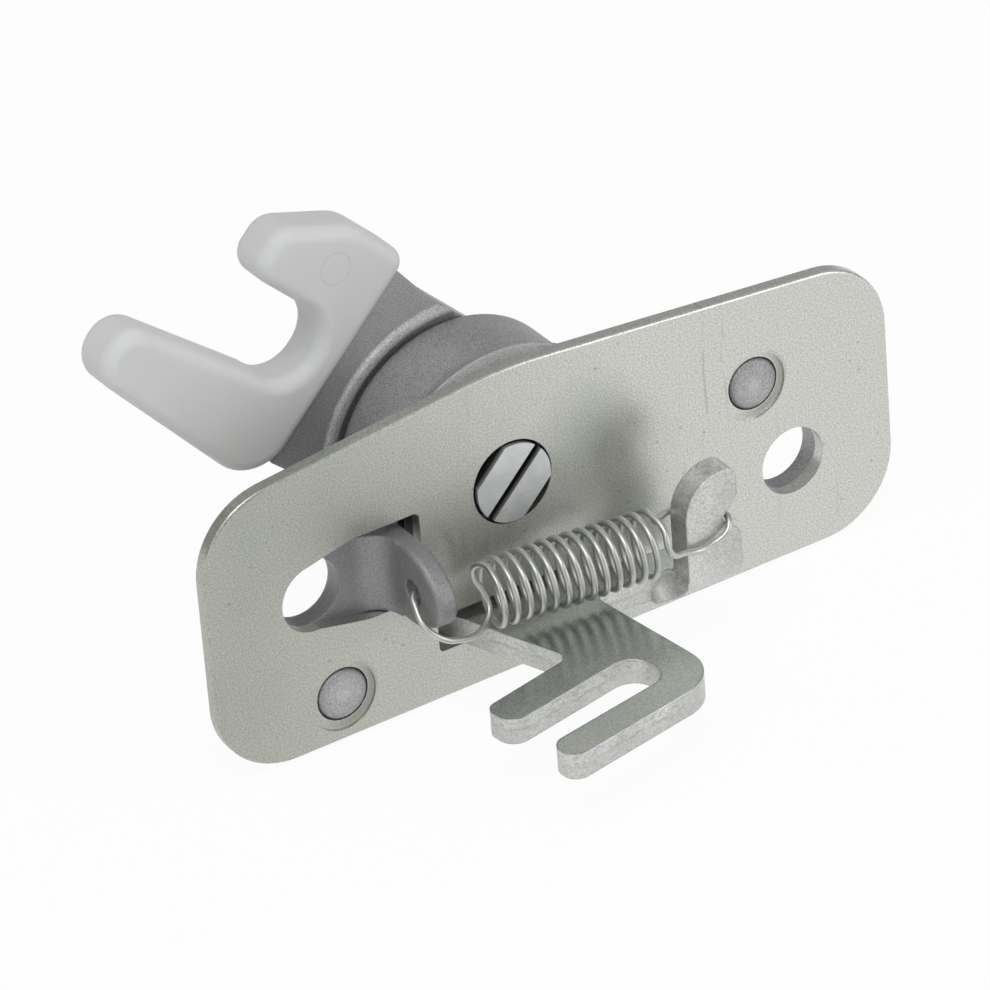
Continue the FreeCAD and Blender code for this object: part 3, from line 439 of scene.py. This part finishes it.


# Pivot pin, its washer and the lever's pin.
# Turned steel, plated: bluish light grey with fine scratches. Where the pivot's front end is cut away for
# its slot and its flats, it is painted black, a painted shade for the shadow in the cut.
slot_floor = 0.0004
washer_front = 0.01
pin_look, tree, shader, place = new_look("turned_pin")
where = parts_of(tree, place)
along_slot = stretched(tree, place, (0.1, 1.0, 1.0), (0, 45, 0))
scratches = use_group(tree, scratch_group, Place=along_slot, Scale=2600.0, Share=0.22)
clouds = use_group(tree, cloud_group, Place=place, Scale=190.0)
tint = add_mix(tree, clouds["Cloud"], (0.60, 0.62, 0.63), (0.76, 0.77, 0.77))
tint = laid_over(tree, tint, scratches["Scratch"], 0.2, (0.34, 0.36, 0.37))
# Painted shade: the cut behind the pin's front face is painted near black.
painted_slot_shade = add_range(tree, where["Y"], -0.0002, slot_floor)
before_washer = add_math(tree, "LESS_THAN", where["Y"], washer_front)
tint = laid_over(tree, tint, all_of(tree, painted_slot_shade, before_washer), 0.9, (0.02, 0.02, 0.02))
tree.links.new(tint, shader.inputs["Base Color"])
shader.inputs["Metallic"].default_value = 0.9
tree.links.new(add_range(tree, clouds["Fine"], 0, 1, 0.36, 0.5), shader.inputs["Roughness"])
add_bump(tree, shader, scratches["Scratch"], 0.15, 0.00003)
for name in ("pivot_pin", "pivot_washer", "lever_pin"):
    wear(name, pin_look)


# Release lever.
# A 4 mm steel stamping, zinc plated: green grey faces, and sheared edges with a burnished band above a
# rough torn one. The tab that is bent up for the spring is lighter.
lever_look, tree, shader, place = new_look("plated_stamping")
where = parts_of(tree, place)
facing = facing_of(tree)
clouds = use_group(tree, cloud_group, Place=place, Scale=60.0)
grain = use_group(tree, cloud_group, Place=place, Scale=190.0)
specks = use_group(tree, speck_group, Place=place, Scale=800.0, Share=0.15, Size=0.2)
face = add_mix(tree, clouds["Cloud"], (0.42, 0.45, 0.425), (0.49, 0.505, 0.47))
face = speckled(tree, face, grain["Fine"], 0.72, 1.2)
face = laid_over(tree, face, specks["Speck"], 0.4, (0.2, 0.21, 0.2))

# The sheared sides: the flat part is cut upright, the tab is cut across, and the bend joins the two.
bend = all_of(tree, add_math(tree, "GREATER_THAN", where["X"], 0.0135),
              add_math(tree, "LESS_THAN", where["Y"], -0.0083))
tab = add_math(tree, "MAXIMUM", add_math(tree, "GREATER_THAN", where["Z"], -0.0175), bend)
flat_side = add_math(tree, "LESS_THAN", add_math(tree, "ABSOLUTE", facing["Z"]), 0.3)
tab_side = add_math(tree, "LESS_THAN", add_math(tree, "ABSOLUTE", facing["Y"]), 0.3)
low_side = all_of(tree, flat_side, add_math(tree, "SUBTRACT", 1.0, tab))
sheared = add_math(tree, "MAXIMUM", low_side, all_of(tree, tab, tab_side))
rough_cut = use_group(tree, cloud_group, Place=stretched(tree, place, (1.0, 1.0, 0.5)), Scale=110.0)
wander = add_range(tree, add_noise(tree, place, 420.0), 0.3, 0.7, -0.0004, 0.0004)
height = add_math(tree, "ADD", where["Z"], wander)
torn = add_range(tree, height, -0.0199, -0.0197, 1.0, 0.0)
torn_line = all_of(tree, torn, add_range(tree, height, -0.0203, -0.0201))
broken_line = all_of(tree, torn_line, add_range(tree, add_noise(tree, place, 300.0), 0.45, 0.6))
pitted = add_noise(tree, stretched(tree, place, (0.7, 0.7, 1.3)), 1500.0)
pits = add_range(tree, pitted, 0.5, 0.75)
side = add_mix(tree, rough_cut["Cloud"], (0.60, 0.61, 0.60), (0.72, 0.72, 0.70))
side = speckled(tree, side, grain["Fine"], 0.7, 1.15)
side = laid_over(tree, side, pits, 0.55, (0.30, 0.30, 0.29))
side = laid_over(tree, side, torn, 0.3, (0.48, 0.48, 0.46))
side = laid_over(tree, side, broken_line, 0.3, (0.24, 0.24, 0.24))
lighter_tab = add_mix(tree, rough_cut["Cloud"], (0.52, 0.53, 0.51), (0.66, 0.66, 0.65))
lighter_tab = speckled(tree, lighter_tab, grain["Fine"], 0.75, 1.2)
lighter_tab = laid_over(tree, lighter_tab, pits, 0.3, (0.36, 0.36, 0.35))
tint = add_mix(tree, sheared, add_mix(tree, tab, face, lighter_tab), side)
tree.links.new(tint, shader.inputs["Base Color"])
shader.inputs["Metallic"].default_value = 0.9
polish = add_range(tree, grain["Fine"], 0, 1, 0.2, 0.28)
dull = add_math(tree, "MULTIPLY", add_math(tree, "MAXIMUM", sheared, tab), 0.2)
tree.links.new(add_math(tree, "ADD", polish, dull), shader.inputs["Roughness"])
add_bump(tree, shader, all_of(tree, sheared, rough_cut["Fine"]), 0.5, 0.00007, 0.0004)
wear("lever", lever_look)


# Springs.
# Bright drawn steel wire. The tension spring hangs between the cast ear and the lever's tab, and the
# return spring lies in the drum.
wire_look, tree, shader, place = new_look("drawn_wire")
clouds = use_group(tree, cloud_group, Place=place, Scale=300.0)
tint = add_mix(tree, clouds["Cloud"], (0.46, 0.47, 0.455), (0.56, 0.565, 0.55))
tree.links.new(tint, shader.inputs["Base Color"])
shader.inputs["Metallic"].default_value = 0.9
shader.inputs["Roughness"].default_value = 0.37

# The tension spring's wire, from the ear's hook through the coils to the tab's hook, in millimetres.
coil_start = Vector((-0.01035, -0.008, -0.0105))
coil_end = Vector((0.0152, -0.011, -0.0109))
coil_radius = 0.0047
wire_radius = 0.00048
turns = 13
steps = 12
ear_hook = [(-10.9, -6.2, -6.6), (-10.7, -5.6, -8.9), (-9.9, -6.6, -11.3), (-10.3, -8.2, -13.4),
            (-13.1, -10.0, -14.5), (-17.2, -11.4, -13.5), (-20.3, -11.6, -11.9), (-22.0, -10.3, -10.0),
            (-21.9, -8.0, -8.0), (-21.2, -6.5, -7.0), (-19.2, -6.1, -6.8), (-16.8, -6.2, -7.0)]
tab_hook = [(15.45, -14.15, -7.5), (15.15, -15.4, -9.6), (15.9, -15.45, -11.0), (18.0, -14.7, -11.9),
            (20.9, -14.3, -12.8), (23.7, -14.35, -12.5), (25.5, -14.5, -11.5), (26.6, -13.5, -10.3),
            (26.7, -11.5, -9.9), (26.2, -9.4, -9.6), (24.4, -8.5, -9.2), (21.9, -8.5, -8.8),
            (19.2, -8.8, -8.6), (16.8, -9.3, -8.9)]
axis = coil_end - coil_start
along = axis.normalized()
first = (Vector((0, 0, 1)) - along * along.z).normalized()
across = along.cross(first)
line = [Vector(point) / 1000 for point in reversed(ear_hook)]
for step in range(turns * steps + 1):
    angle = 2 * math.pi * step / steps
    line.append(coil_start + axis * step / (turns * steps)
                + (first * math.cos(angle) + across * math.sin(angle)) * coil_radius)
line += [Vector(point) / 1000 for point in tab_hook]
bpy.ops.curve.primitive_bezier_curve_add()
tension_spring = bpy.context.object
tension_spring.matrix_world = Matrix.Identity(4)
wire = tension_spring.data
wire.dimensions = "3D"
wire.bevel_depth = wire_radius
wire.bevel_resolution = 4
wire.resolution_u = 4
wire.use_fill_caps = True
spline = wire.splines[0]
spline.bezier_points.add(len(line) - 2)
for point, spot in zip(spline.bezier_points, line):
    point.co = spot
    point.handle_left_type = "AUTO"
    point.handle_right_type = "AUTO"
bpy.ops.object.convert(target="MESH")
tension_spring = bpy.context.object
tension_spring.name = "tension_spring"
bpy.ops.object.shade_smooth_by_angle(angle=math.radians(50))
tension_spring.data.materials.clear()
tension_spring.data.materials.append(wire_look)
tension_spring.select_set(False)
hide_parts("extension_spring")
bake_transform(tension_spring)

# The return spring has the solid's own shape, with its loose triangles joined.
return_spring = nodes["claw_spring"].copy()
return_spring.data = nodes["claw_spring"].data.copy()
return_spring.name = "return_spring"
return_spring.parent = None
bpy.context.collection.objects.link(return_spring)
bpy.ops.object.select_all(action="DESELECT")
return_spring.select_set(True)
bpy.context.view_layer.objects.active = return_spring
bpy.ops.object.mode_set(mode="EDIT")
bpy.ops.mesh.select_all(action="SELECT")
bpy.ops.mesh.remove_doubles(threshold=1e-6)
bpy.ops.object.mode_set(mode="OBJECT")
bpy.ops.object.shade_smooth_by_angle(angle=math.radians(40))
return_spring.data.materials.clear()
return_spring.data.materials.append(wire_look)
return_spring.select_set(False)
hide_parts("claw_spring")
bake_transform(return_spring)


# Claw.
# Natural white plastic, a little translucent, moulded with soft edges and a few dark flecks.
claw_look, tree, shader, place = new_look("moulded_claw")
clouds = use_group(tree, cloud_group, Place=place, Scale=45.0)
specks = use_group(tree, speck_group, Place=place, Scale=420.0, Share=0.07, Size=0.14)
tint = add_mix(tree, clouds["Cloud"], (0.565, 0.575, 0.57), (0.60, 0.61, 0.60))
tint = laid_over(tree, tint, specks["Speck"], 0.35, (0.35, 0.35, 0.34))

# Two round marks on the face, where the ejector pins stood in the mould.
ejector_radius = 0.0024
marks = []
for middle, strength in (((-0.0168, 0.0341), 1.0), ((-0.0406, 0.0218), 0.35)):
    off = add_math(tree, "SUBTRACT", way_from(tree, place, middle), ejector_radius)
    ring = add_range(tree, add_math(tree, "ABSOLUTE", off), 0.00006, 0.00018, strength, 0.0)
    marks.append(all_of(tree, ring, add_range(tree, clouds["Fine"], 0, 1, 0.5, 1.0)))
tint = laid_over(tree, tint, add_math(tree, "MAXIMUM", *marks), 0.45, (0.42, 0.43, 0.42))
tree.links.new(tint, shader.inputs["Base Color"])
tree.links.new(add_range(tree, clouds["Fine"], 0, 1, 0.45, 0.55), shader.inputs["Roughness"])
shader.inputs["Specular IOR Level"].default_value = 0.2
shader.inputs["Subsurface Weight"].default_value = 0.35
shader.inputs["Subsurface Radius"].default_value = (0.005, 0.005, 0.005)
shader.inputs["Subsurface Scale"].default_value = 1.0
add_bump(tree, shader, clouds["Cloud"], 0.15, 0.0001)
wear("claw", claw_look)
